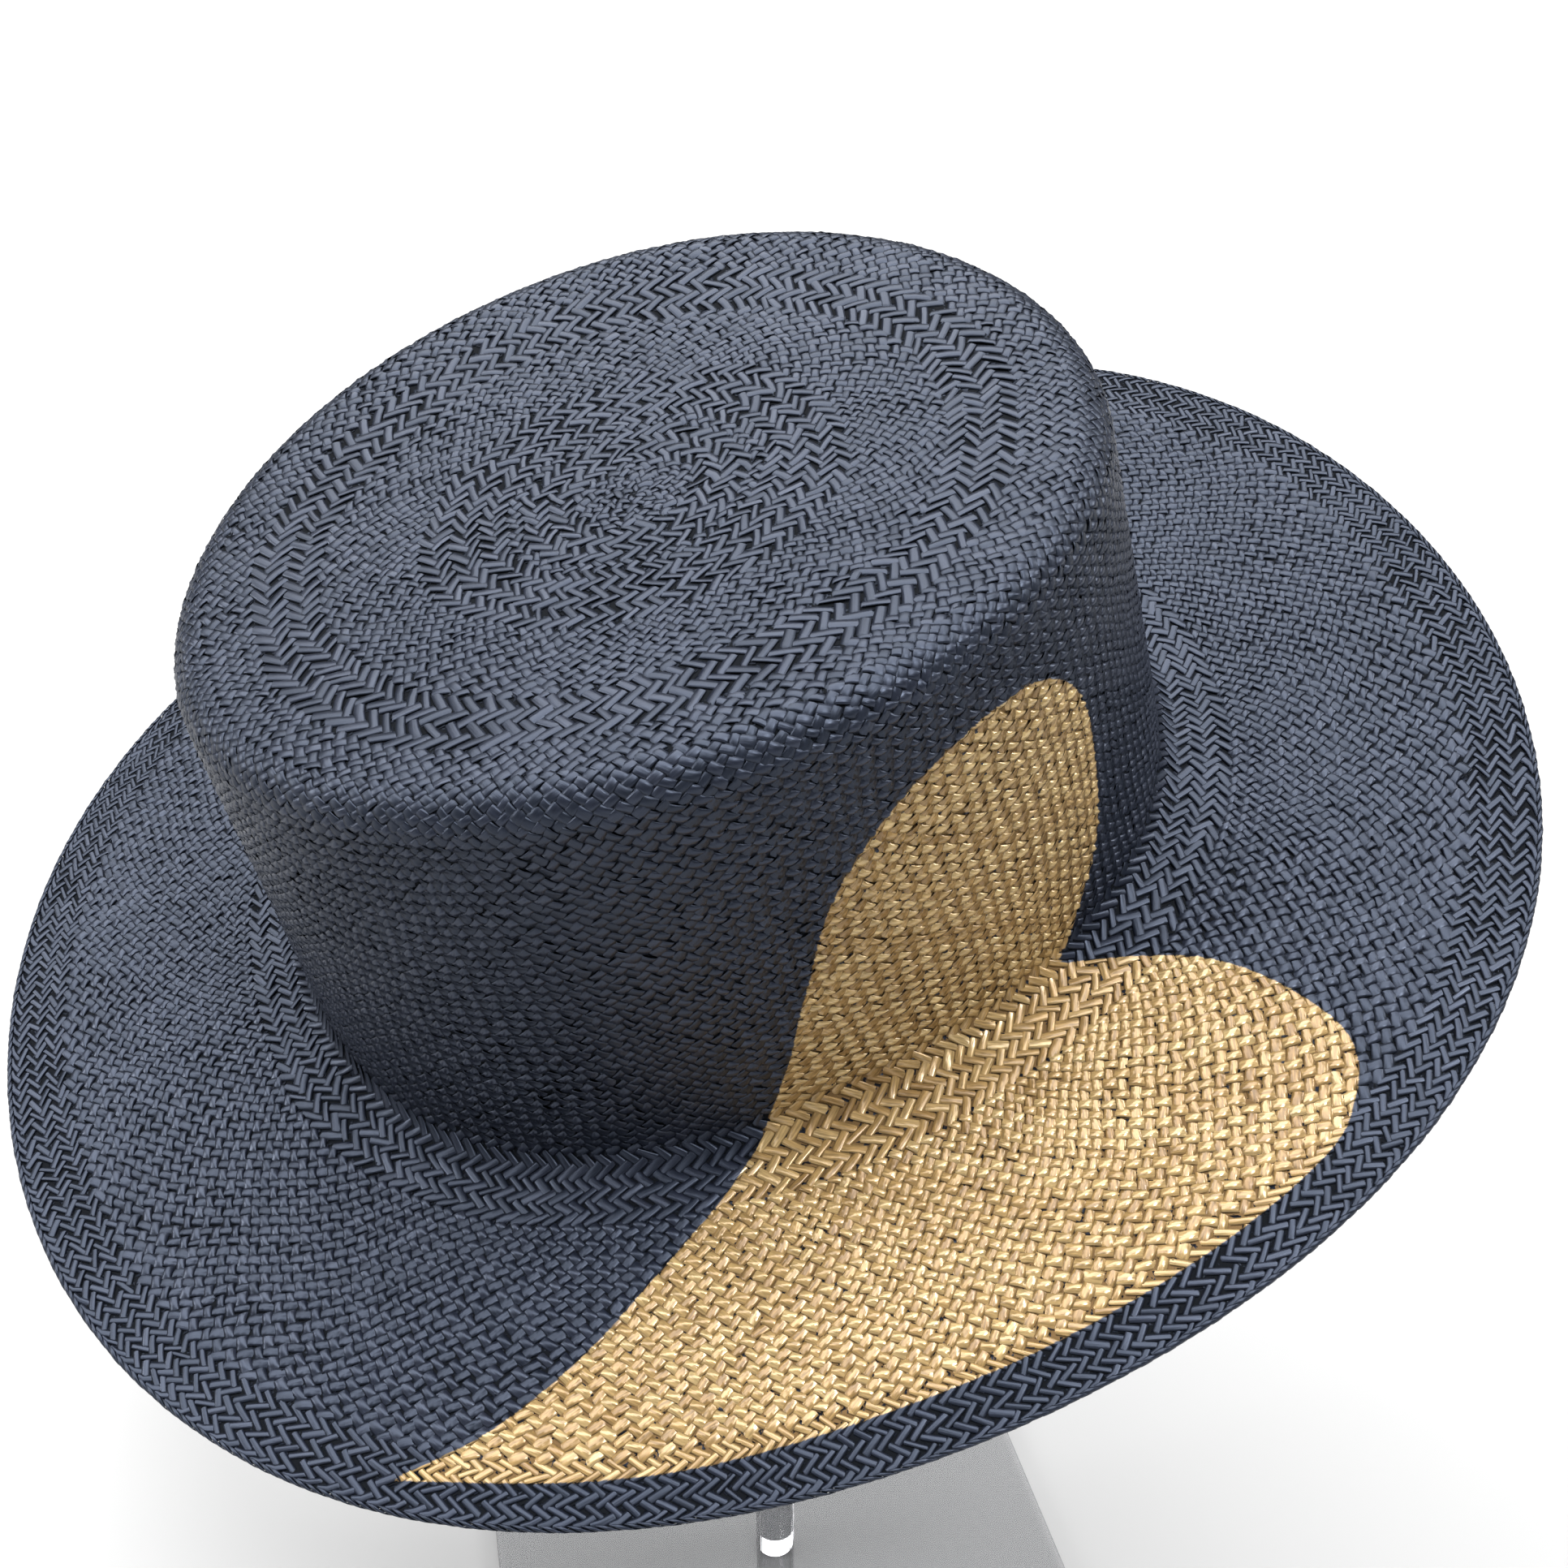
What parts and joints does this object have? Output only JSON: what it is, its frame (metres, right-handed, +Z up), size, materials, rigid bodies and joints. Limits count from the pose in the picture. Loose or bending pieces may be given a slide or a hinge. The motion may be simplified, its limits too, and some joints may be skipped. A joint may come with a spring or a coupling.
{
  "type": "straw boater hat on a clear display stand",
  "caption": "Flat-topped woven straw hat with a wide brim and a painted gold leaf, tilted on a clear stand with a round post and a square plate.",
  "frame": {"origin": "the middle of the base plate's underside, on the table", "axes": "+Z up along the post, +X and +Y along the plate's sides, with the leaf's side of the hat towards -Y"},
  "size_m": [0.3326, 0.2911, 0.3977],
  "materials": {
    "straw": "woven dyed straw, satin, with a painted gold leaf",
    "clear_acrylic": "clear, polished"
  },
  "bodies": {
    "root": {"hat": "straw", "base_plate": "clear_acrylic", "post": "clear_acrylic", "crown_rest": "clear_acrylic"}
  },
  "joints": []
}
